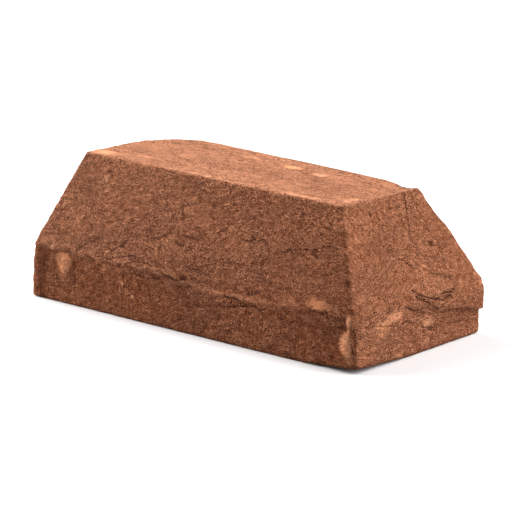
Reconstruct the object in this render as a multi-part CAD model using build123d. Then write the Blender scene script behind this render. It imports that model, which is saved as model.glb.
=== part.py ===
from build123d import *
import os

# Hand-moulded clay brick of a special shape, the kind that caps a pier or a low wall. It is one
# solid piece: a rectangular plinth, and above it a cap whose four sides all lean in to a smaller
# flat top. The clay was thrown into a box mould, struck off level and fired.
# +X runs along the length, +Y from the front face to the back, +Z up.
# The origin is on the flat bed, below the middle of the whole brick. All sizes are millimetres.

# Plinth
plinth_length = 212.6
plinth_width = 101.3
plinth_height = 28.3
plinth_corner_radius = 2.5

# The plinth's upright at the front of the right end leans in along X as it rises to the crease.
right_upright_lean = 2.9

# Cap. Each corner of the flat top is pulled in from the plinth's by its own amount along X and
# along Y, because the cap came out of the mould a little skewed.
brick_height = 76.0
front_left_lean_x = 18.0
front_left_lean_y = 21.1
front_right_lean_x = 26.9
front_right_lean_y = 20.5
back_right_lean_x = 21.2
back_right_lean_y = 26.2
back_left_lean_x = 22.8
back_left_lean_y = 18.9
top_corner_radius = 1.6

# The clay didn't fill the mould at the top corner behind the left end, which came out round.
unfilled_corner_radius = 31.5

# Softened edges
crease_radius = 2.0
top_edge_radius = 1.4
bed_edge_radius = 0.8

# Fold. A flap of clay overlaps the plinth at the back of the right end. It stands out past the
# plinth's corner, and fades away towards the front and along the back.
flap_stand_out_end = 2.4
flap_stand_out_back = 1.2
flap_full_reach = 10.0
flap_reach_along_end = 76.0
flap_reach_along_back = 60.0
flap_root_depth = 3.0

# The flap's shoulder and its lower edge, measured down from the crease. The edge rises from the
# back corner towards the front, first gently and then up to the crease.
flap_shoulder_drop = 4.7
flap_shoulder_radius = 2.2
flap_edge_drop = 14.3
flap_gentle_reach = 35.0
flap_gentle_rise = 5.0
flap_edge_reach = 57.0

# The bed is worn up a little under the front corner of the right end.
worn_reach_along_front = 38.0
worn_reach_along_end = 45.0
worn_rise = 2.9

# Places of the plinth's upright faces. The flap is counted in the brick's middle.
left_end = -(plinth_length + flap_stand_out_end) / 2
right_end = left_end + plinth_length
front_face = -(plinth_width + flap_stand_out_back) / 2
back_face = front_face + plinth_width

# Heights closer together than this count as the same.
tolerance = 0.0001


def outline(height, leans, radii):
    """The plinth's outline at a height, with each corner pulled in by its lean along X and Y.

    leans and radii are for the corners at the front left, front right, back right and back left.
    """
    plinth = (
        (left_end, front_face),
        (right_end, front_face),
        (right_end, back_face),
        (left_end, back_face),
    )
    inward = ((1, 1), (-1, 1), (-1, -1), (1, -1))
    corners = [
        (x + toward_x * lean_x, y + toward_y * lean_y)
        for (x, y), (toward_x, toward_y), (lean_x, lean_y) in zip(plinth, inward, leans)
    ]
    face = make_face(Polyline(*corners, close=True))
    for corner, radius in zip(corners, radii):
        vertex = face.vertices().sort_by_distance(Vector(*corner))[0]
        face = fillet(vertex, radius)
    return Pos(0, 0, height) * face


def edges_at(solid, height):
    """The edges that lie level at a height."""
    return solid.edges().filter_by(
        lambda edge: all(abs(vertex.Z - height) < tolerance for vertex in edge.vertices())
    )


def make_body():
    """The plinth and the cap, lofted straight from outline to outline, with softened edges."""
    upright = ((0, 0),) * 4
    at_crease = ((0, 0), (right_upright_lean, 0), (0, 0), (0, 0))
    at_top = (
        (front_left_lean_x, front_left_lean_y),
        (front_right_lean_x, front_right_lean_y),
        (back_right_lean_x, back_right_lean_y),
        (back_left_lean_x, back_left_lean_y),
    )
    plinth_radii = (plinth_corner_radius,) * 4
    top_radii = (top_corner_radius,) * 3 + (unfilled_corner_radius,)
    foot = outline(0, upright, plinth_radii)
    crease = outline(plinth_height, at_crease, plinth_radii)
    flat_top = outline(brick_height, at_top, top_radii)
    body = loft([foot, crease], ruled=True) + loft([crease, flat_top], ruled=True)
    body = fillet(edges_at(body, brick_height), top_edge_radius)
    body = fillet(edges_at(body, plinth_height), crease_radius)
    return fillet(edges_at(body, 0), bed_edge_radius)


def flap_plan(height, stand_out_end, stand_out_back):
    """The flap seen from above at a height.

    Its tips lie inside the plinth, so that it comes out of the faces at a slight angle.
    """
    end = right_end + stand_out_end
    back = back_face + stand_out_back
    front_tip = (right_end - flap_root_depth, back_face - flap_reach_along_end)
    back_tip = (right_end - flap_reach_along_back, back_face - flap_root_depth)
    root = (back_tip[0], front_tip[1])
    end_bend = (end, back_face - flap_full_reach)
    back_bend = (right_end - flap_full_reach, back)
    plan = make_face(Polyline(front_tip, end_bend, (end, back), back_bend, back_tip, root, close=True))
    corner = plan.vertices().sort_by_distance(Vector(end, back))[0]
    return Pos(0, 0, height) * fillet(corner, plinth_corner_radius)


def space_below_flap():
    """Everything under the flap's lower edge, which is a curve seen from the right end."""
    back = back_face + flap_stand_out_back
    corner_level = plinth_height - flap_edge_drop
    start = (back, corner_level)
    bend = (back - flap_gentle_reach, corner_level + flap_gentle_rise)
    finish = (back - flap_edge_reach, plinth_height)
    edge = Spline(start, bend, finish)
    frame = Polyline(finish, (front_face, plinth_height), (front_face, 0), (back, 0), start)
    return extrude(Plane.YZ * make_face(edge + frame), plinth_length, both=True)


def make_flap():
    """The fold: upright as far as its shoulder, then sloping in to the crease."""
    shoulder_height = plinth_height - flap_shoulder_drop
    foot = flap_plan(0, flap_stand_out_end, flap_stand_out_back)
    shoulder = flap_plan(shoulder_height, flap_stand_out_end, flap_stand_out_back)
    crease = flap_plan(plinth_height, 0, 0)
    flap = loft([foot, shoulder], ruled=True) + loft([shoulder, crease], ruled=True)
    flap = fillet(edges_at(flap, shoulder_height), flap_shoulder_radius)
    return flap - space_below_flap()


def wear_bed_corner(brick):
    """Cuts the bed up to the worn corner, on a plane through three points of its edges."""
    on_front = Vector(right_end - worn_reach_along_front, front_face, 0)
    on_end = Vector(right_end, front_face + worn_reach_along_end, 0)
    at_corner = Vector(right_end, front_face, worn_rise)
    across = on_end - on_front
    upward = across.cross(at_corner - on_front)
    if upward.Z < 0:
        upward = -upward
    return split(brick, bisect_by=Plane(on_front, x_dir=across, z_dir=upward), keep=Keep.TOP)


brick = wear_bed_corner(make_body() + make_flap())
os.makedirs("parts", exist_ok=True)
export_step(brick, "parts/brick.step")
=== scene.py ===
import math

import bpy
import numpy as np
from mathutils import Matrix, Vector


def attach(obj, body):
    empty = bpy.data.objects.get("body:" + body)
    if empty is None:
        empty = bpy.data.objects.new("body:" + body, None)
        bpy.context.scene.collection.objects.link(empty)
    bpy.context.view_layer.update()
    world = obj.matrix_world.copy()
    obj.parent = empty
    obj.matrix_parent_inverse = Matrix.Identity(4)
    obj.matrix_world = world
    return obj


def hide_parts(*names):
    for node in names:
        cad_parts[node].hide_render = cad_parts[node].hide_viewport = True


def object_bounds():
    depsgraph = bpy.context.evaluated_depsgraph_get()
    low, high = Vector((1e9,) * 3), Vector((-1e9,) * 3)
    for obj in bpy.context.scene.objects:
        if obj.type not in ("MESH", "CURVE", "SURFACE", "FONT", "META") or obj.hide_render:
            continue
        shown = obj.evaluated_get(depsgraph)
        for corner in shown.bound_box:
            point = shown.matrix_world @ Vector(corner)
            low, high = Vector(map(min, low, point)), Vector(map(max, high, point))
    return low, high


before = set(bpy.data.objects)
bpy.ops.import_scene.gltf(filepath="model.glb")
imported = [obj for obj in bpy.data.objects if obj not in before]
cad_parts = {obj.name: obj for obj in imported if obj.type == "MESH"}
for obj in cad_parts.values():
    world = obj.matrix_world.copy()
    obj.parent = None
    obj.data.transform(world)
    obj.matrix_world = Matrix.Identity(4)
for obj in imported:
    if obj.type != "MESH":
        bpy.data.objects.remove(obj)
cad_low, cad_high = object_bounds()

# Clay brick
# One solid piece of fired clay: an upright plinth, and above it a cap whose four sides lean in to a
# smaller flat top. A lump of sanded clay was thrown into a box mould by hand, so its skin is folded
# and wrinkled where the clay slid down the mould's sides. All sizes here are millimetres.
millimetre = 0.001
box_low = np.round(np.array(cad_low) / millimetre, 2)
box_high = np.round(np.array(cad_high) / millimetre, 2)
block_size = box_high - box_low
brick_height = box_high[2]

# The plinth's upright faces. A fold of clay stands out past them at the right end and at the back.
fold_past_end = 2.4
fold_past_back = 1.2
left_end, front_face = box_low[:2]
right_end = box_high[0] - fold_past_end
back_face = box_high[1] - fold_past_back

# The outline's corners at the front left, front right, back right and back left. The upright at the
# front right leans in as it rises. Round the flat top each corner is pulled in by its own amount
# along X and along Y, because the cap came out of the mould a little skewed.
plinth_height = 28.3
upright_lean = 2.9
top_lean = np.array([(18.0, 21.1), (26.9, 20.5), (21.2, 26.2), (22.8, 18.9)])
foot_corners = np.array([
    (left_end, front_face),
    (right_end, front_face),
    (right_end, back_face),
    (left_end, back_face),
])
crease_corners = foot_corners - [(0, 0), (upright_lean, 0), (0, 0), (0, 0)]
top_corners = foot_corners - np.sign(foot_corners) * top_lean
level_height = np.array([0, plinth_height, brick_height])
level_corners = np.array([foot_corners, crease_corners, top_corners])

# The radius of each corner on the bed, at the crease and round the top. The clay didn't fill the
# mould at the top's back left.
level_radius = np.array([
    [1.2, 2.5, 3.0, 2.5],
    [2.5, 2.5, 2.5, 2.5],
    [1.6, 1.6, 1.6, 31.5],
])

# Cells of the lattice along the length, the width and the height, each about a millimetre long
cells = np.array([218, 100, 84])


def box_lattice(cells):
    """The skin of a block of cells: whole-number places of its points, and its four-sided faces.

    Each of the six sides is a grid of two of the three counts. The points that two sides share are
    merged by their number in the whole block, and each face runs anticlockwise seen from outside.
    """
    faces = []
    for axis in range(3):
        across, upward = [(1, 2), (2, 0), (0, 1)][axis]
        for far_side in (0, 1):
            first, second = np.meshgrid(np.arange(cells[across]), np.arange(cells[upward]), indexing="ij")
            corners = []
            for step in ((0, 0), (1, 0), (1, 1), (0, 1)):
                place = np.zeros(first.shape + (3,), int)
                place[..., axis] = far_side * cells[axis]
                place[..., across] = first + step[0]
                place[..., upward] = second + step[1]
                corners.append(place.reshape(-1, 3))
            if not far_side:
                corners.reverse()
            faces.append(np.stack(corners, axis=1))
    faces = np.concatenate(faces)
    number = (faces[..., 0] * (cells[1] + 1) + faces[..., 1]) * (cells[2] + 1) + faces[..., 2]
    _, first_use, index = np.unique(number, return_index=True, return_inverse=True)
    return faces.reshape(-1, 3)[first_use], index.reshape(-1, 4)


lattice, faces = box_lattice(cells)
share = lattice / cells
on_left, on_front, on_bed = (lattice == 0).T
on_right, on_back = (lattice == cells).T[:2]
on_side = on_left | on_right | on_front | on_back


def between_levels(height, values):
    """Values given at the bed, the crease and the top, carried in straight lines between them."""
    columns = values.reshape(len(level_height), -1).T
    return np.stack([np.interp(height, level_height, column) for column in columns], axis=-1)


def place_on_outline(share_x, share_y, height):
    """Plan places at a height for shares of the length and the width.

    The four corners are blended by the shares. Near each corner a square of the corner's radius is
    first turned into a quarter disc: a point's distance from the disc's middle becomes the larger of
    its two distances along the sides.
    """
    corners = between_levels(height, level_corners).reshape(-1, 4, 2)
    radii = between_levels(height, level_radius)
    length = np.hypot(*(corners[:, 1] - corners[:, 0]).T)
    width = np.hypot(*(corners[:, 3] - corners[:, 0]).T)
    from_left = share_x * length
    from_front = share_y * width
    for corner, (far_x, far_y) in enumerate(((0, 0), (1, 0), (1, 1), (0, 1))):
        gap_x = length - from_left if far_x else from_left
        gap_y = width - from_front if far_y else from_front
        out_x = np.maximum(radii[:, corner] - gap_x, 0)
        out_y = np.maximum(radii[:, corner] - gap_y, 0)
        reach = np.hypot(out_x, out_y)
        squeeze = np.divide(np.maximum(out_x, out_y), reach, out=np.ones_like(reach), where=reach > 0)
        gap_x = gap_x + out_x * (1 - squeeze)
        gap_y = gap_y + out_y * (1 - squeeze)
        from_left = length - gap_x if far_x else gap_x
        from_front = width - gap_y if far_y else gap_y
    u = (from_left / length)[:, None]
    v = (from_front / width)[:, None]
    front = corners[:, 0] * (1 - u) + corners[:, 1] * u
    back = corners[:, 3] * (1 - u) + corners[:, 2] * u
    return front * (1 - v) + back * v


# Fold. A flap of clay overlaps the plinth round the back corner of the right end. Distances run from
# that corner: forwards along the end as positive numbers, and along the back as negative ones.
fold_distance = np.array([-62, -30, -8, 0, 4, 11, 19.4, 27.8, 36.2, 39.5, 44.6, 51, 60])
fold_edge_height = np.array([11.1, 12.1, 12.9, 13.1, 13.2, 15.3, 17.5, 18.8, 19.0, 20.4, 23.6, 25.8, 26.5])
fold_stand_out = np.array([0, 0.9, 1.5, 1.8, 1.9, 2.0, 2.0, 1.8, 1.5, 1.2, 0.7, 0.3, 0])
fold_shoulder_height = 23.6
fold_top_height = 30.0

# One row of the lattice follows the fold's lower edge, and is level again some way past the fold. The
# rows above it give way, up to the height where the fold fades.
fold_row_height = 19.0
fold_row_reach = 90.0
fold_fade_height = 46.0

row_height = share[:, 2] * brick_height
plain = place_on_outline(share[:, 0], share[:, 1], row_height)
along = np.where(on_back & ~on_right, plain[:, 0] - right_end, back_face - plain[:, 1])
near_fold_place = [-fold_row_reach, fold_distance[0], fold_distance[-1], fold_row_reach]
near_fold = np.interp(along, near_fold_place, [0, 1, 1, 0]) * (on_right | on_back)
edge_rise = np.interp(along, fold_distance, fold_edge_height) - fold_row_height
edge_height = fold_row_height + edge_rise * near_fold
share_above = (row_height - fold_row_height) / (fold_fade_height - fold_row_height)
height = np.where(
    row_height < fold_row_height,
    row_height * edge_height / fold_row_height,
    edge_height + share_above * (fold_fade_height - edge_height),
)
height = np.where((row_height < fold_fade_height) & on_side, height, row_height)

# The places of the lattice's points. x, y and z are views of them, so they follow each later move.
points = np.column_stack([place_on_outline(share[:, 0], share[:, 1], height), height])
x, y, z = points.T


def neighbour_mean(points, edges, count):
    """Each point's mean of the points that an edge joins to it."""
    total = np.zeros_like(points)
    for axis in range(points.shape[1]):
        total[:, axis] += np.bincount(edges[:, 0], points[edges[:, 1], axis], len(points))
        total[:, axis] += np.bincount(edges[:, 1], points[edges[:, 0], axis], len(points))
    return total / count[:, None]


def corner_normals(points, faces):
    """Outward normals: the cross products of the faces' diagonals, added up at each point."""
    cross = np.cross(points[faces[:, 2]] - points[faces[:, 0]], points[faces[:, 3]] - points[faces[:, 1]])
    total = np.zeros_like(points)
    for corner in range(4):
        for axis in range(3):
            total[:, axis] += np.bincount(faces[:, corner], cross[:, axis], len(points))
    return total / np.linalg.norm(total, axis=1)[:, None]


# All edges are softened alike, by drawing each point towards the mean of its neighbours.
softening_rounds = 3
softening_share = 0.5
edges = np.concatenate([faces[:, [corner, (corner + 1) % 4]] for corner in range(4)])
edges = np.unique(np.sort(edges, axis=1), axis=0)
count = np.bincount(edges.ravel(), minlength=len(points))
for _ in range(softening_rounds):
    points += softening_share * (neighbour_mean(points, edges, count) - points)


def random_waves(places, size, seed, height=1.0):
    """Smooth random waves of a given size, between about minus and plus the height.

    At each corner of a grid of blocks sits a random slope. The heights that the eight slopes round a
    point give are blended with the curve 6t^5 - 15t^4 + 10t^3 of its place in the block.
    """
    slope_count = 512
    steepness = 1.8
    generator = np.random.default_rng(seed)
    order = generator.permutation(slope_count)
    slopes = generator.normal(size=(slope_count, 3))
    slopes *= steepness / np.linalg.norm(slopes, axis=1)[:, None]
    scaled = places / np.asarray(size, float)
    block = np.floor(scaled).astype(int)
    inside = scaled - block
    ease = inside**3 * (inside * (inside * 6 - 15) + 10)
    total = np.zeros(len(places))
    for corner in np.ndindex(2, 2, 2):
        slot = np.zeros(len(places), int)
        for axis in range(3):
            slot = order[(slot + block[:, axis] + corner[axis]) % slope_count]
        weight = np.prod(np.where(corner, ease, 1 - ease), axis=1)
        total += weight * np.sum(slopes[slot] * (inside - corner), axis=1)
    return height * total


def ramp(values, start, end):
    """Rises smoothly from 0 at the start to 1 at the end, as 3t^2 - 2t^3."""
    t = np.clip((values - start) / (end - start), 0, 1)
    return t * t * (3 - 2 * t)


def bell(distance, half_width):
    """Falls on either side from 1 at no distance, as e to the power of -t^2."""
    return np.exp(-((distance / half_width) ** 2))


# Which way the skin faces decides how it looks: the top was struck off, the sides slid down the mould.
normals = corner_normals(points, faces)
facing_up = ramp(normals[:, 2], start=0.6, end=0.9)
facing_down = ramp(-normals[:, 2], start=0.6, end=0.9)
facing_out = 1 - facing_up - facing_down

# Cracks and creases of the front, as places along it and up it. The first number is the depth's share.
front_cracks = (
    (0.5, (-40.5, 43.5), (-31, 43), (-26, 43.5), (-23, 46), (-19.5, 46.5)),
    (0.7, (-13.5, 47.5), (-12, 47), (-6.5, 47), (-1, 47)),
    (0.6, (-17.5, 44), (-16.5, 43.5), (-10, 43), (-8.5, 43)),
    (0.8, (23, 51.5), (24.5, 51.5), (29.5, 52), (35.5, 53), (40.5, 54)),
    (0.5, (14, 39), (16.5, 39.5), (23.5, 40.5), (30.5, 40.5), (33.5, 39.5)),
    (0.5, (-8, 34.5), (-6.5, 34), (-1.5, 33.5), (4.5, 33), (9, 32.5), (11.5, 32)),
    (1.0, (-20.5, 28.5), (-15, 27), (-8.5, 26.5), (-4, 28), (-2, 29)),
    (1.0, (20.5, 25), (22.5, 24), (28, 24), (31, 23.5), (33, 23.5)),
    (0.9, (33.5, 26.5), (36, 27.5), (39.5, 29), (43, 30.5), (44, 31)),
    (0.35, (2, 15.5), (4, 15.5), (20.5, 18.5)),
    (1.0, (19.5, 18), (26.5, 19.5), (37.5, 22), (41.5, 22.5), (44.5, 21), (47.5, 23), (49, 23.5)),
    (0.6, (36, 38), (37.5, 38.5), (42, 38.5), (44, 38.5)),
    (0.7, (-42, 26), (-40, 25), (-34, 24), (-27, 24), (-21, 25), (-18.5, 26.5)),
    (0.8, (51.5, 50), (53.5, 51), (57, 52), (61.5, 53), (66.5, 54), (69.5, 54), (72, 54), (73, 53)),
    (0.8, (67.5, 52.5), (69.5, 52), (73.5, 51), (75, 50.5)),
    (0.6, (54.5, 47), (56.5, 47.5), (61, 49), (62.5, 49.5)),
    (0.6, (46, 34.5), (47.5, 35), (50.5, 35.5), (52, 36.5)),
    (0.6, (52.5, 33.5), (54.5, 33.5), (57, 34), (58.5, 33.5)),
    (0.9, (73.5, 28), (76, 27.5), (81, 27), (86, 28), (87, 29)),
    (0.35, (63.5, 19), (66, 19), (71.5, 19), (76, 19), (82, 20.5), (91.5, 21.5), (98.5, 22.5), (101.5, 23)),
    (0.6, (-63.5, 39), (-65.5, 37.5), (-68.5, 35.5), (-72, 34), (-75.5, 31.5), (-78, 30)),
    (0.4, (-53, 50), (-54.5, 49), (-58, 46.5), (-62, 45.5), (-64, 45)),
    (0.7, (-44, 42.5), (-45, 41), (-47, 38.5), (-50, 36), (-54, 33.5), (-56, 32.5)),
    (0.5, (-44, 40.5), (-42.5, 41.5), (-38.5, 43.5), (-35.5, 44)),
    (0.7, (-28, 43), (-27, 44), (-22.5, 46), (-19.5, 49.5), (-18.5, 51)),
    (0.8, (-61.5, 30), (-60, 29.5), (-55.5, 29), (-49, 31), (-43.5, 32.5), (-37.5, 33), (-34.5, 32.5)),
    (0.6, (-44, 28.5), (-42.5, 29), (-37, 31), (-30, 31), (-26, 30), (-24, 29)),
)

# Cracks of the right end, as places back from the middle and up. The deep ones curl round the fold.
end_cracks = (
    (1.3, (-5, 33), (-3, 32), (0, 30), (4, 28), (8, 26.5), (11, 25.5), (16.5, 24), (19, 24.5),
     (22.5, 25), (25, 25.5)),
    (1.3, (-13, 26.5), (-11, 25.5), (-7.5, 24), (-3.5, 22.5), (-1.5, 22)),
    (1.3, (-4, 29.5), (0, 27.5), (4, 25.5), (7.5, 23.5), (11, 21), (15, 20)),
    (1.0, (14, 27.5), (17, 27), (22, 27), (26, 27.5), (29, 29)),
    (0.9, (-7.5, 22.5), (-4.5, 22), (0.5, 21), (5, 19.5)),
    (0.5, (-43.5, 22), (-41.5, 22), (-35.5, 21.5), (-28.5, 19.5), (-22.5, 19), (-18, 17.5),
     (-12.5, 13.5), (-10.5, 12.5)),
    (0.5, (18.5, 12), (20.5, 11.5), (27, 10), (32.5, 9.5), (37.5, 9), (42, 8.5)),
    (0.7, (-3.5, 16), (-6, 16.5), (-10.5, 18.5), (-14.5, 18), (-16, 17.5)),
    (0.5, (0, 14), (2, 13), (7.5, 11.5), (13, 11.5), (15, 11.5)),
    (0.5, (1, 11), (2.5, 10.5), (9, 10), (11.5, 10), (13, 10.5)),
    (0.4, (18.5, 32.5), (20.5, 33), (26, 33), (30, 32.5), (31.5, 32)),
    (0.9, (13.5, 77), (13.5, 76), (12, 73), (11.5, 69.5), (10, 66)),
    (0.5, (11, 69), (10, 66), (9.5, 61.5), (8, 57), (7, 54.5)),
    (0.6, (-4.5, 47), (-2.5, 46), (0, 43.5), (3, 41), (4.5, 40)),
    (0.5, (9, 39), (11, 38.5), (18, 36), (23, 34.5), (24.5, 33.5)),
    (0.6, (-12.5, 53), (-11, 52.5), (-8, 51), (-7, 50.5)),
)

crack_end_fade = 2.5
crack_reach = 2.4
groove_depth = 0.32
groove_half_width = 0.9


def cracks_on(places, cracks):
    """Signed distance to the nearest crack in a face's plane, and that crack's depth there.

    The distance is positive on the left of the line's direction. The depth fades to nothing at the
    line's ends and at the crack's reach.
    """
    offset = np.full(len(places), np.inf)
    depth = np.zeros(len(places))
    for depth_share, *path in cracks:
        path = np.array(path, float)
        runs = np.diff(path, axis=0)
        lengths = np.linalg.norm(runs, axis=1)
        starts = np.concatenate([[0], np.cumsum(lengths)])
        for number, (start, run, length) in enumerate(zip(path, runs, lengths)):
            away = places - start
            part = np.clip(away @ run / length**2, 0, 1)
            distance = np.linalg.norm(away - part[:, None] * run, axis=1)
            side = np.sign(run[0] * away[:, 1] - run[1] * away[:, 0])
            gone = starts[number] + part * length
            fade = np.clip(np.minimum(gone, starts[-1] - gone) / crack_end_fade, 0, 1)
            nearer = distance < np.abs(offset)
            offset = np.where(nearer, side * distance, offset)
            depth = np.where(nearer, depth_share * fade, depth)
    return offset, depth * ramp(np.abs(offset), crack_reach, 0.5 * crack_reach)


# The back has the front's cracks, and the left end the right end's, each as in a mirror.
crack_offset = np.full(len(points), np.inf)
crack_depth = np.zeros(len(points))
for side, plane, cracks, turn in (
    (on_front, (0, 2), front_cracks, 1),
    (on_back, (0, 2), front_cracks, -1),
    (on_right, (1, 2), end_cracks, 1),
    (on_left, (1, 2), end_cracks, -1),
):
    crack_offset[side], crack_depth[side] = cracks_on(points[side][:, plane] * (turn, 1), cracks)

# The crease isn't level along the front. Where it dips, the slope runs on down into the plinth's face,
# so the skin is cut back there by the slope's lean, and less and less above the plinth.
dip_place = np.array([-107, -26, -6, 7, 27, 46, 65, 84, 105])
dip_depth = np.array([0, 0, 1.6, 4.1, 3.6, 3.0, 1.4, 0, 0])
dip_fade_height = 52.0
slope_lean = 0.44
crease_height = plinth_height - on_front * np.interp(x, dip_place, dip_depth)
cut_back = slope_lean * np.clip(z - crease_height, 0, plinth_height - crease_height)
cut_back *= on_front * ramp(z, dip_fade_height, plinth_height)

# Unevenness, in waves of falling size. The wrinkles of the sides are stretched along the level. The
# top has streaks along its length instead, and less grain.
top_grain_share = 0.5
bent = points + np.column_stack([random_waves(points, 14, seed, height=2.5) for seed in (1, 2, 3)])
sag = random_waves(points, size=52, seed=4, height=0.26)
sag += random_waves(points, size=21, seed=5, height=0.12)
lumps = random_waves(bent, size=(11, 11, 7), seed=6, height=0.11)
wrinkles = random_waves(bent, size=(6, 6, 3.2), seed=7, height=0.15)
wrinkles += np.abs(random_waves(bent, size=(8, 8, 3.8), seed=8, height=0.24))
grain = random_waves(points, size=(2.9, 2.9, 2.1), seed=9, height=0.17)
streaks = random_waves(points, size=(16, 3.2, 8), seed=10, height=0.1)
streaks += random_waves(points, size=(5, 4, 5), seed=11, height=0.1)
relief = sag + facing_out * (lumps + wrinkles + grain)
relief += facing_up * (streaks + top_grain_share * grain)
relief -= groove_depth * crack_depth * bell(crack_offset, groove_half_width)

# Pits, as a place on the skin, a radius and a depth
pits = (
    ((94.4, 19.8, 50.1), 1.3, 1.3),
    ((83.3, -14.4, 69.2), 1.0, 0.8),
    ((93.8, -45.0, 42.5), 1.3, 1.1),
    ((-6.2, -51.0, 28.0), 1.4, 0.8),
)
# How much each point lies in a pit, for the painted shade there
pit_painted_shade = np.zeros(len(points))
for middle, radius, depth in pits:
    inside_pit = np.prod(bell(points - middle, radius), axis=1)
    relief -= depth * inside_pit
    pit_painted_shade += inside_pit

# Swellings of the skin, and dents as swellings inwards. Each has a middle, its half sizes to the left,
# to the right, in depth and in height, and how far it stands out.
swells = (
    ((94.0, 36.0, 54.0), (16, 16, 16, 15), 1.3),
    ((102.0, 46.0, 36.0), (8, 8, 10, 8), 0.7),
    ((38.0, 29.0, 74.0), (45, 45, 12, 14), 1.1),
    ((76.5, 23.0, 76.0), (9, 5, 8, 6), -1.3),
    ((89.7, 31.0, 63.0), (8, 8, 8, 7), -0.6),
    ((-96.0, -49.0, 30.0), (10, 10, 10, 5), 0.5),
    ((62.0, -40.0, 52.0), (20, 20, 20, 26), 0.55),
    ((-107.0, -51.0, 12.0), (3, 3, 3, 30), 0.25),
    ((-107.0, -51.0, 29.0), (6, 6, 6, 4), -0.7),
    ((-85.0, -51.2, 21.0), (14, 16, 5, 9), -0.9),
    ((-83.6, -51.2, 19.6), (4.6, 3.0, 5, 5.0), 1.5),
    ((95.0, -51.2, 17.0), (18, 8, 5, 12), -2.3),
    ((99.8, -51.2, 13.4), (4.4, 1.9, 5, 6.5), 3.4),
    ((100.4, -51.2, 25.2), (2.4, 1.8, 5, 3.4), 1.7),
)
for middle, (half_left, half_right, half_depth, half_height), stand_out in swells:
    away_x, away_y, away_z = (points - middle).T
    swelling = bell(away_x, np.where(away_x < 0, half_left, half_right))
    swelling *= bell(away_y, half_depth) * bell(away_z, half_height)
    relief += stand_out * swelling

# The brick's edges are chipped and worn in short runs. A point's distance from the nearest edge is the
# second smallest of its three distances from the sides of the block.
edge_reach = 2.6
chip_depth = 0.8
chip_threshold = 0.1
chip_height = np.array([0.5, 4, 68, 74])
chip_share = np.array([0, 1, 1, 0.5])
edge_distance = np.sort(np.minimum(share, 1 - share) * block_size, axis=1)[:, 1]
chips = chip_depth * np.clip(random_waves(points, size=8, seed=14) - chip_threshold, 0, 1)
chips += random_waves(points, size=3.5, seed=15, height=0.24)
chips *= np.interp(z, chip_height, chip_share)
relief -= chips * bell(edge_distance, edge_reach)

# The slope's clay ends in a ragged lip about the crease, with a hollow under it. The lip comes and
# goes along the sides, and is weaker on the right of the front. The right end has the fold instead.
lip_drop = 0.8
lip_rise = 1.3
lip_half_height = 1.3
lip_stand_out = 0.35
under_lip_drop = 1.1
under_lip_half_height = 1.2
under_lip_depth = 0.42
lip_usual_share = 0.5
lip_place = np.array([-30, 10])
lip_share = np.array([1, 0.5])
above_lip = z - crease_height + lip_drop
above_lip -= random_waves(points, size=(7, 7, 40), seed=12, height=1.6)
lip = lip_stand_out * bell(above_lip - lip_rise, lip_half_height)
lip -= under_lip_depth * bell(above_lip + under_lip_drop, under_lip_half_height)
lip *= np.clip(lip_usual_share + random_waves(points, size=(22, 22, 60), seed=13, height=0.7), 0, 1)
lip *= np.where(on_front, np.interp(x, lip_place, lip_share), 1)
relief += facing_out * (on_front | on_left | on_back) * lip

# The skin as a whole is set back a little, least at the foot, and the right end's foot is worn round.
# The bed is flat.
set_back_height = 9.0
foot_set_back = 0.1
skin_set_back = 0.3
end_foot_height = 2.2
end_foot_wear = 0.5
relief -= cut_back + np.interp(z, [0, set_back_height], [foot_set_back, skin_set_back])
relief -= on_right * np.interp(z, [0, end_foot_height], [end_foot_wear, 0])
relief[on_bed] = 0

# The fold stands out from the plinth above its lower edge, and less along the back. Its root lies
# inside the back right corner.
fold_root_x = (90, 104)
fold_root_y = (38, 49)
fold_back_share = 0.55
above_edge = lattice[:, 2] >= round(fold_row_height / brick_height * cells[2])
fold = np.interp(along, fold_distance, fold_stand_out)
fold *= np.interp(z, [fold_shoulder_height, fold_top_height], [1, 0])
fold *= above_edge & (on_right | on_back)
fold_push_x = fold * ramp(x, *fold_root_x)
fold_push_y = fold * ramp(y, *fold_root_y) * fold_back_share
points += relief[:, None] * normals
x += fold_push_x
y += fold_push_y
z[on_bed] = 0
np.clip(points, box_low, box_high, out=points)

# The bed's edges are worn round, most under the right end, so the flat bed is a little smaller than
# the foot.
bed_wear = 0.9
bed_wear_right = 1.3
bed_wear_x = np.where(x > 0, bed_wear_right, bed_wear)
x *= 1 - on_bed * bed_wear_x / box_high[0]
y *= 1 - on_bed * bed_wear / box_high[1]

# The bed is worn up under the front corner of the right end, to a plane through three points of
# its edges. The rows above are pushed up with it.
worn_reach_front = 38.0
worn_reach_end = 45.0
worn_rise = 2.9
worn_room = 12.0
worn = worn_rise * (1 - (right_end - x) / worn_reach_front - (y - front_face) / worn_reach_end)
z += np.maximum(worn, 0) * np.clip(1 - z / worn_room, 0, 1)

# Hollows are where the skin lies lower than the skin round it, and crests where it lies higher. The hollows
# are darkened as painted shade and the crests made paler as painted light.
evening_rounds = 10
full_difference = 0.25
crest_threshold = 0.04
even_relief = relief[:, None]
for _ in range(evening_rounds):
    even_relief = neighbour_mean(even_relief, edges, count)
lies_higher = relief - even_relief[:, 0]
painted_hollow_shade = np.clip(-lies_higher / full_difference, 0, 1)
painted_crest_light = np.clip((lies_higher - crest_threshold) / full_difference, 0, 1) * facing_out

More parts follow.
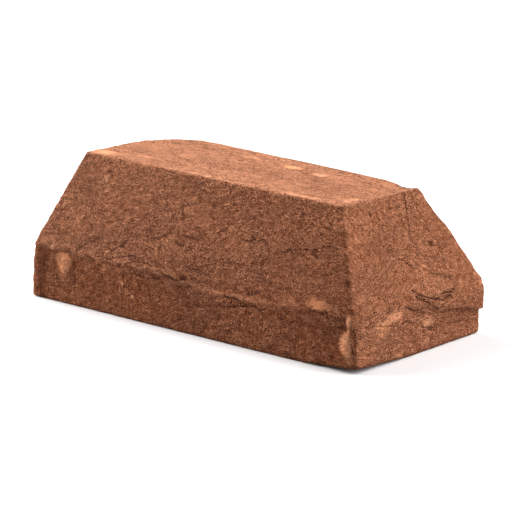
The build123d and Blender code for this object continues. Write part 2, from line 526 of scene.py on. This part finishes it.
# Scuffs where pale clay shows through: a place on the skin, its half length, half depth and half
# height, how strong it is, and how pale from orange (0) to peach (1).
scuffs = (
    ((-86.4, -51.2, 22.0), (5.0, 6, 4.8), 2.2, 0.15),
    ((-86.2, -51.2, 22.6), (2.2, 6, 2.4), 3.2, 0.6),
    ((-86.8, -51.2, 17.0), (3.2, 6, 4.2), 0.8, 0.1),
    ((-58.7, -51.2, 24.0), (1.6, 6, 3.8), 0.6, 0.1),
    ((-45.7, -51.2, 17.3), (1.3, 6, 2.2), 0.55, 0.3),
    ((-39.0, -51.2, 12.6), (1.8, 6, 1.2), 0.5, 0.6),
    ((-93.7, -51.2, 28.2), (1.3, 6, 1.1), 2.2, 1.0),
    ((-84.4, -50.1, 31.0), (3.2, 6, 1.2), 0.6, 0.3),
    ((-70.2, -50.5, 30.1), (3.0, 6, 1.2), 0.55, 0.3),
    ((-59.2, -51.0, 29.2), (3.0, 6, 1.0), 0.5, 0.3),
    ((-71.9, -35.9, 63.1), (6.5, 6, 7.5), 0.3, 1.0),
    ((96.8, -51.2, 14.6), (4.2, 6, 5.4), 2.4, 0.3),
    ((97.2, -51.2, 15.8), (2.2, 6, 2.8), 3.6, 0.75),
    ((98.7, -51.2, 20.6), (1.5, 6, 2.6), 0.9, 0.35),
    ((99.0, -51.2, 26.0), (1.7, 6, 2.6), 1.8, 0.8),
    ((100.7, -51.2, 7.5), (3.0, 6, 4.0), 0.5, 0.7),
    ((79.5, -50.4, 30.6), (8.0, 6, 2.6), 1.2, 0.05),
    ((60.5, -50.4, 29.2), (9.0, 6, 2.4), 0.4, 0.05),
    ((103.5, -19.1, 22.9), (6, 7.0, 2.6), 1.3, 0.45),
    ((103.4, -27.6, 20.8), (6, 8.0, 2.2), 1.0, 0.4),
    ((103.8, -30.0, 16.0), (6, 5.0, 2.6), 0.75, 0.3),
    ((104.5, 5.9, 14.6), (6, 4.4, 2.4), 0.9, 0.8),
    ((104.8, 3.3, 5.6), (6, 4.0, 2.0), 0.45, 0.8),
    ((103.8, 32.5, 30.1), (6, 0.9, 0.9), 1.0, 1.0),
    ((106.9, 46.1, 26.5), (6, 4.5, 1.6), 0.6, 0.2),
    ((11.5, 14.5, 76.0), (6.0, 2.6, 6), 1.4, 0.3),
    ((31.8, 11.1, 76.0), (6.0, 2.4, 6), 0.75, 0.9),
    ((-15.6, 16.7, 76.0), (8.0, 2.4, 6), 0.55, 0.9),
    ((-82.0, -24.5, 76.0), (9.0, 5.0, 6), 0.9, 0.5),
    ((-60.0, -18.0, 76.0), (7.0, 3.0, 6), 0.4, 0.7),
    ((-47.5, -3.0, 76.0), (5.0, 3.4, 6), 0.4, 0.7),
    ((73.8, -19.5, 76.0), (3.2, 8.0, 6), 0.6, 0.8),
    ((48.0, -28.5, 76.0), (22.0, 3.2, 6), 0.5, 0.8),
    ((-10.0, -28.6, 76.0), (50.0, 2.6, 6), 0.35, 0.8),
    ((-60.0, 12.0, 60.0), (14, 40, 9), 0.2, 0.6),
    ((20.0, 51.2, 16.0), (7, 6, 3.0), 0.7, 0.4),
    ((-58.0, 50.0, 28.5), (9, 6, 2.4), 0.6, 0.2),
    ((-107.4, 12.0, 18.0), (6, 5.0, 4.5), 0.8, 0.3),
    ((-106.0, -26.0, 29.0), (6, 6.0, 1.8), 0.5, 0.6),
)
scuff_reach = 1.35
scuff = np.zeros(len(points))
scuff_paleness = np.zeros(len(points))
for middle, half_sizes, strength, paleness in scuffs:
    reach = np.linalg.norm((points - middle) / half_sizes, axis=1)
    amount = strength * np.maximum(scuff_reach - reach, 0)
    scuff_paleness = np.where(amount > scuff, paleness, scuff_paleness)
    scuff = np.maximum(scuff, amount)
# No painted shade in the hollows inside the scuffs.
painted_hollow_shade *= 1 - np.clip(scuff, 0, 1)

# Stains and painted shade. Painted shade runs darkly down the rounded left corner of the front, more
# faintly over the front's foot below the crease, and in the pits. The front's slope is darker towards its
# right. Stains lie in a blotch on the front's foot and along the middle of the top.
foot_shade_place = np.array([-70, 0, 50, 105])
foot_shade_share = np.array([0, 0.24, 0.14, 0.08])
corner_painted_shade = ramp(np.abs(x + 100.4), start=4.2, end=1) * ramp(z, start=31, end=25)
foot_painted_shade = np.interp(x, foot_shade_place, foot_shade_share) * ramp(z, start=30, end=23)
blotch = 0.35 * bell(x + 29, half_width=10) * bell(z - 21, half_width=4)
slope_darkening = 0.14 * ramp(x, start=20, end=75) * ramp(z, start=26, end=34)
top_stain = 0.28 * ramp(np.abs(y + 3), start=13, end=3) * ramp(np.abs(x - 25), start=75, end=45)
stain_and_painted_shade = on_front * (corner_painted_shade + foot_painted_shade + blotch + slope_darkening)
stain_and_painted_shade += facing_up * top_stain + pit_painted_shade

# Painted sheen, a pale cool tone, most on the left of the front's slope and on the ends, and none on the
# front's foot
end_facing = 0.7
sheen_place = np.array([-107, -60, 0, 60, 105])
sheen_share = np.array([0.6, 0.5, 0.36, 0.16, 0.12])
end_sheen = 0.42
painted_sheen = np.interp(x, sheen_place, sheen_share) * ramp(z, start=24, end=31)
painted_sheen = np.where(np.abs(normals[:, 0]) > end_facing, end_sheen, painted_sheen)

# Upright marks on the left of the front's foot, where the mould's side dragged over the clay
drag = on_front * ramp(x, start=-12, end=-45) * ramp(z, start=30, end=25)

# How coarse the skin is: most on the right end's plinth, and least at the right end's slope and the
# left of the front
coarse_place = np.array([-107, -60, -10, 105])
coarse_share = np.array([0.92, 1.1, 1.45, 1.15])
end_slope_coarse = 0.9
end_plinth_more = 0.72
end_coarse = end_slope_coarse + end_plinth_more * ramp(z, start=30, end=22)
coarse = np.interp(x, coarse_place, coarse_share)
coarse = np.where(normals[:, 0] > end_facing, end_coarse, coarse)

crack_offset_limit = 9
skin_values = {
    "facing_up": facing_up,
    "painted_hollow_shade": painted_hollow_shade,
    "painted_crest_light": painted_crest_light,
    "crack_offset": np.clip(crack_offset, -crack_offset_limit, crack_offset_limit),
    "crack_depth": crack_depth,
    "scuff": scuff,
    "scuff_paleness": scuff_paleness,
    "stain_and_painted_shade": stain_and_painted_shade,
    "painted_sheen": painted_sheen,
    "drag": drag,
    "coarse": coarse,
}
brick_mesh = bpy.data.meshes.new("moulded_brick")
brick_mesh.vertices.add(len(points))
brick_mesh.vertices.foreach_set("co", (points * millimetre).ravel())
brick_mesh.loops.add(faces.size)
brick_mesh.loops.foreach_set("vertex_index", faces.ravel())
brick_mesh.polygons.add(len(faces))
brick_mesh.polygons.foreach_set("loop_start", np.arange(0, faces.size, 4))
brick_mesh.update(calc_edges=True)
brick_mesh.polygons.foreach_set("use_smooth", np.ones(len(faces), bool))
for name, values in skin_values.items():
    brick_mesh.attributes.new(name, "FLOAT", "POINT").data.foreach_set("value", values)
brick = bpy.data.objects.new("moulded_brick", brick_mesh)
bpy.context.scene.collection.objects.link(brick)


def add_node(tree, kind, sockets=(), **settings):
    """A shader node with its settings. Each socket gets a number, a colour or another node's output."""
    made = tree.nodes.new("ShaderNode" + kind)
    for name, value in settings.items():
        setattr(made, name, value)
    for name, value in dict(sockets).items():
        if isinstance(value, bpy.types.NodeSocket):
            tree.links.new(value, made.inputs[name])
        else:
            made.inputs[name].default_value = value
    return made


def in_millimetres(tree, place, squeeze=(1, 1, 1)):
    """Places in metres made millimetres and squeezed, so that a pattern there comes out longer."""
    scale = [value / millimetre for value in squeeze]
    return add_node(tree, "Mapping", {"Vector": place, "Scale": scale}).outputs["Vector"]


def noise(tree, place, scale, detail, roughness=0.5, distortion=0.0):
    """Random cloud round 0.5, with its size given as waves a millimetre."""
    sockets = {
        "Vector": place,
        "Scale": scale,
        "Detail": detail,
        "Roughness": roughness,
        "Distortion": distortion,
    }
    return add_node(tree, "TexNoise", sockets).outputs["Fac"]


def reckon(tree, how, first, second=0.0):
    """One step of arithmetic."""
    return add_node(tree, "Math", {0: first, 1: second}, operation=how).outputs[0]


def multiply(tree, first, *others):
    """The product of all the values given."""
    for other in others:
        first = reckon(tree, "MULTIPLY", first, other)
    return first


def add_up(tree, first, *others):
    """The sum of all the values given."""
    for other in others:
        first = reckon(tree, "ADD", first, other)
    return first


def remap(tree, value, low, high, to_low, to_high):
    """Carries values from one range to another and stops at its ends."""
    made = add_node(tree, "MapRange", {0: value, 1: low, 2: high, 3: to_low, 4: to_high}, clamp=True)
    return made.outputs["Result"]


def blend(tree, share, first, second):
    """Mixes two numbers by a share."""
    return add_node(tree, "Mix", {0: share, 2: first, 3: second}).outputs[0]


def blend_colour(tree, share, first, second):
    """Mixes two colours by a share."""
    return add_node(tree, "Mix", {0: share, 6: first, 7: second}, data_type="RGBA").outputs[2]


def skin_value(tree, name):
    """A value that was worked out for each point of the skin."""
    return add_node(tree, "Attribute", attribute_name=name).outputs["Fac"]


def swing(tree, cloud, strength):
    """How far a cloud is above or below its middle value of 0.5, times a strength."""
    return multiply(tree, reckon(tree, "SUBTRACT", cloud, 0.5), strength)


def lines_at(tree, cloud, value, core, edge):
    """Thin lines where a cloud passes through a value: 1 within the core and 0 beyond the edge."""
    away = reckon(tree, "ABSOLUTE", reckon(tree, "SUBTRACT", cloud, value))
    return remap(tree, away, core, edge, 1, 0)


# Colours of the fired clay; of its painted sheen; of its top, dusty and paler as painted light; of the dark
# tint for painted shade in pores, folds and cracks, which the stains share; of the pale tint for painted
# light on crests and grains; and of what shows under its scuffs
dark_clay = (0.345, 0.0975, 0.0355, 1)
light_clay = (0.445, 0.145, 0.0575, 1)
sheen_clay = (0.49, 0.200, 0.105, 1)
dust_and_top_light_clay = (0.465, 0.199, 0.103, 1)
pale_and_lit_clay = (0.74, 0.315, 0.168, 1)
dark_and_shaded_clay = (0.075, 0.013, 0.003, 1)
orange_clay = (0.98, 0.37, 0.17, 1)
peach_clay = (1.0, 0.47, 0.26, 1)

clay = bpy.data.materials.new("fired_clay")
clay.use_nodes = True
tree = clay.node_tree

# Places for the clay's patterns. On the sides they bend with a slow cloud and are stretched along the
# level. On the top they are stretched along the brick, as it was struck off. Drag marks are upright.
bend_reach = (10 * millimetre, 10 * millimetre, 22 * millimetre)
metres = add_node(tree, "TexCoord").outputs["Object"]
here = in_millimetres(tree, metres)
slow_cloud = add_node(tree, "TexNoise", {"Vector": here, "Scale": 0.028, "Detail": 1.0}).outputs["Color"]
bend = add_node(tree, "VectorMath", {0: slow_cloud, 1: (0.5, 0.5, 0.5)}, operation="SUBTRACT").outputs[0]
bend = add_node(tree, "VectorMath", {0: bend, 1: bend_reach}, operation="MULTIPLY").outputs[0]
bent_place = add_node(tree, "VectorMath", {0: metres, 1: bend}, operation="ADD").outputs[0]
level = in_millimetres(tree, bent_place, squeeze=(0.42, 0.42, 1))
flattened = in_millimetres(tree, bent_place, squeeze=(0.54, 0.54, 1))
struck = in_millimetres(tree, metres, squeeze=(0.38, 0.95, 0.95))
upright = in_millimetres(tree, metres, squeeze=(1, 1, 0.13))

# Clouds. In each blend by on_top, the first value is for the sides and the second for the top.
on_top = skin_value(tree, "facing_up")
patches = noise(tree, here, scale=0.05, detail=3, roughness=0.55)
rough_patches = noise(tree, here, scale=0.045, detail=2)
side_mottle = noise(tree, here, scale=0.16, detail=3, roughness=0.6)
top_mottle = noise(tree, struck, scale=0.2, detail=2, roughness=0.6)
mottle = blend(tree, on_top, side_mottle, top_mottle)
side_wrinkles = noise(tree, level, scale=0.62, detail=3, roughness=0.66, distortion=0.5)
top_wrinkles = noise(tree, struck, scale=0.62, detail=3, roughness=0.66)
wrinkle_cloud = blend(tree, on_top, side_wrinkles, top_wrinkles)
crease_cloud = noise(tree, level, scale=0.26, detail=2, distortion=1.2)
dash_cloud = noise(tree, level, scale=0.7, detail=2, roughness=0.6, distortion=0.4)
grain_cloud = noise(tree, flattened, scale=1.35, detail=2, roughness=0.7)
sand_cloud = noise(tree, here, scale=1.9, detail=1)
drag_cloud = noise(tree, upright, scale=0.75, detail=2, roughness=0.6)

# Creases and short fine dashes lie where a cloud passes through about its middle value, in broken runs, and
# hardly on the top. They dip the fine relief, and their colour is darkened as painted shade.
creases = lines_at(tree, crease_cloud, value=0.5, core=0, edge=0.035)
creases = multiply(tree, creases, remap(tree, mottle, 0.42, 0.6, 0, 1), blend(tree, on_top, 1, 0.15))
dashes = lines_at(tree, dash_cloud, value=0.47, core=0.012, edge=0.05)
dashes = multiply(tree, dashes, remap(tree, grain_cloud, 0.42, 0.6, 0, 1), blend(tree, on_top, 1, 0.25))

# Cracks lie where the distance from their line, made ragged, is nothing. They dip the fine relief, and
# their colour is darkened as painted shade.
ragged = add_up(tree, swing(tree, side_wrinkles, 2.6), swing(tree, grain_cloud, 1.6))
from_crack = add_up(tree, skin_value(tree, "crack_offset"), ragged)
cracks = lines_at(tree, from_crack, value=0, core=0.14, edge=0.42)
cracks = multiply(tree, cracks, skin_value(tree, "crack_depth"))
cracks = multiply(tree, cracks, remap(tree, grain_cloud, 0.44, 0.62, 1, 0.5))

# Fine relief, with its heights in millimetres
fine_relief = add_up(
    tree,
    multiply(tree, wrinkle_cloud, blend(tree, on_top, 2.5, 1.4)),
    multiply(tree, grain_cloud, blend(tree, on_top, 1.2, 0.9)),
    multiply(tree, sand_cloud, 0.3),
    multiply(tree, creases, -0.25),
    multiply(tree, dashes, -0.4),
    multiply(tree, cracks, -1.2),
)
bump = add_node(tree, "Bump", {"Height": fine_relief, "Distance": millimetre, "Strength": 1.0})

# The clay's own colour, with painted sheen, dust on the top that is also painted light, and scuffs with
# uneven edges
colour = blend_colour(tree, remap(tree, patches, 0.35, 0.65, 0, 1), dark_clay, light_clay)
colour = blend_colour(tree, skin_value(tree, "painted_sheen"), colour, sheen_clay)
# Dust and painted light: the top is made paler than the sides.
colour = blend_colour(tree, multiply(tree, on_top, 0.8), colour, dust_and_top_light_clay)
scuffed = skin_value(tree, "scuff")
scuff_share = remap(tree, add_up(tree, scuffed, swing(tree, side_wrinkles, 1.6)), 0.1, 1, 0, 1)
scuff_share = multiply(tree, scuff_share, remap(tree, scuffed, 0, 0.25, 0, 1))
scuff_colour = blend_colour(tree, skin_value(tree, "scuff_paleness"), orange_clay, peach_clay)
colour = blend_colour(tree, scuff_share, colour, scuff_colour)

# Painted shade darkens the skin in its folds and pores, and painted light makes it paler on its crests and
# grains, following the fine relief. The mottle and drag marks, the clay's own tone, are mixed in with them.
# Some patches are rough and others nearly smooth, and the scuffs are smoother.
coarseness = remap(tree, rough_patches, 0.36, 0.64, 0.6, 1.45)
coarseness = multiply(tree, coarseness, skin_value(tree, "coarse"))
fine_shade = add_up(
    tree,
    swing(tree, grain_cloud, blend(tree, on_top, 3.2, 2.6)),
    swing(tree, sand_cloud, blend(tree, on_top, 4.0, 3.2)),
)
painted_shade_and_mottle = add_up(
    tree,
    swing(tree, wrinkle_cloud, blend(tree, on_top, 2.0, 2.6)),
    multiply(tree, fine_shade, coarseness),
    swing(tree, mottle, blend(tree, on_top, 0.5, 1.45)),
    swing(tree, drag_cloud, multiply(tree, skin_value(tree, "drag"), 1.4)),
)
painted_shade_and_mottle = multiply(tree, painted_shade_and_mottle, blend(tree, scuff_share, 1, 0.25))
# The tints: the painted light and shade of the relief with the mottle, then painted shade in the hollows,
# painted light on the crests, painted shade in the creases, dashes and cracks, and the stains with their
# painted shade.
for mask, strongest, tint in (
    (painted_shade_and_mottle, 0.9, pale_and_lit_clay),
    (multiply(tree, painted_shade_and_mottle, -1), 0.9, dark_and_shaded_clay),
    (skin_value(tree, "painted_hollow_shade"), 0.45, dark_and_shaded_clay),
    (skin_value(tree, "painted_crest_light"), 0.4, pale_and_lit_clay),
    (creases, 0.35, dark_and_shaded_clay),
    (dashes, 0.68, dark_and_shaded_clay),
    (cracks, 0.92, dark_and_shaded_clay),
    (skin_value(tree, "stain_and_painted_shade"), 0.5, dark_and_shaded_clay),
):
    colour = blend_colour(tree, remap(tree, mask, 0, 1, 0, strongest), colour, tint)

clay_shader = tree.nodes["Principled BSDF"]
tree.links.new(bump.outputs["Normal"], clay_shader.inputs["Normal"])
tree.links.new(colour, clay_shader.inputs["Base Color"])
clay_shader.inputs["Roughness"].default_value = 0.95
clay_shader.inputs["Specular IOR Level"].default_value = 0.15
brick_mesh.materials.append(clay)

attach(brick, "root")
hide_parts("brick")

# Floor
# A wide level sheet of matt paper that the brick lies on. The camera sees it as white, but it throws
# as little light back on the brick as a grey sheet would.
floor_reach = 6
paper_grey = 0.25
floor_corners = [
    (-floor_reach, -floor_reach, 0),
    (floor_reach, -floor_reach, 0),
    (floor_reach, floor_reach, 0),
    (-floor_reach, floor_reach, 0),
]
floor_mesh = bpy.data.meshes.new("paper_floor")
floor_mesh.from_pydata(floor_corners, [], [(0, 1, 2, 3)])
floor = bpy.data.objects.new("paper_floor", floor_mesh)
bpy.context.scene.collection.objects.link(floor)


def seen_white(tree, unseen):
    """1 for light that reaches the camera straight, by gloss or through glass, and else a lower value."""
    path = add_node(tree, "LightPath").outputs
    seen = reckon(tree, "MAXIMUM", path["Is Camera Ray"], path["Is Glossy Ray"])
    seen = reckon(tree, "MAXIMUM", seen, path["Is Transmission Ray"])
    return blend(tree, seen, unseen, 1)


paper = bpy.data.materials.new("white_paper")
paper.use_nodes = True
tree = paper.node_tree
paper_shader = tree.nodes["Principled BSDF"]
paper_shader.inputs["Roughness"].default_value = 1
paper_shader.inputs["Specular IOR Level"].default_value = 0
tree.links.new(seen_white(tree, unseen=paper_grey), paper_shader.inputs["Base Color"])
floor_mesh.materials.append(paper)

# Lamps
# Two large soft boxes, one to the left and one behind the right end, and a plain room round them that
# gives a little even light and that the camera sees as white.
room_light = 0.16
room = bpy.data.worlds.new("studio")
bpy.context.scene.world = room
room.use_nodes = True
tree = room.node_tree
background = tree.nodes["Background"]
background.inputs["Color"].default_value = (1, 1, 1, 1)
tree.links.new(seen_white(tree, unseen=room_light), background.inputs["Strength"])


def soft_box(name, azimuth, elevation, distance, size, energy):
    """A square lamp that faces the brick, turned round it from the front and raised, in degrees.

    Its distance and size are metres, and its energy is watts.
    """
    lamp = bpy.data.lights.new(name, "AREA")
    lamp.shape = "SQUARE"
    lamp.size = size
    lamp.energy = energy
    turn = math.radians(azimuth)
    rise = math.radians(elevation)
    away = Vector((math.sin(turn) * math.cos(rise), -math.cos(turn) * math.cos(rise), math.sin(rise)))
    facing = away.to_track_quat("Z", "Y").to_matrix().to_4x4()
    made = bpy.data.objects.new(name, lamp)
    made.matrix_world = Matrix.Translation(away * distance) @ facing
    bpy.context.scene.collection.objects.link(made)


soft_box("left_soft_box", azimuth=-76, elevation=30, distance=1.4, size=1.6, energy=46)
soft_box("back_soft_box", azimuth=128, elevation=32, distance=1.4, size=1.8, energy=39)

# Camera
# It stands well to the right of the front and a little above the brick, nearly two metres away. It is
# moved a few millimetres to the left and down, so that the brick sits in the picture as it should.
yaw = math.radians(39.367)
pitch = math.radians(15.156)
roll = math.radians(0.761)
camera_distance = 1770.194
move_left = 0.906
move_down = 6.744
focal_pixels = 3500
image_pixels = 510
forward = Vector((-math.sin(yaw) * math.cos(pitch), math.cos(yaw) * math.cos(pitch), -math.sin(pitch)))
level_right = Vector((math.cos(yaw), math.sin(yaw), 0))
level_up = level_right.cross(forward)
right = math.cos(roll) * level_right + math.sin(roll) * level_up
up = math.cos(roll) * level_up - math.sin(roll) * level_right
brick_middle = Vector((0, 0, brick_height / 2))
camera_place = brick_middle - move_left * right - move_down * up - camera_distance * forward
camera_turn = Matrix((right, up, -forward)).transposed().to_4x4()
camera_data = bpy.data.cameras.new("camera")
camera_data.sensor_width = 36
camera_data.lens = focal_pixels / image_pixels * camera_data.sensor_width
camera_data.clip_start = 0.1
camera_data.clip_end = 20
camera = bpy.data.objects.new("camera", camera_data)
camera.matrix_world = Matrix.Translation(camera_place * millimetre) @ camera_turn
bpy.context.scene.collection.objects.link(camera)
bpy.context.scene.camera = camera
bpy.context.scene.view_settings.view_transform = "Standard"
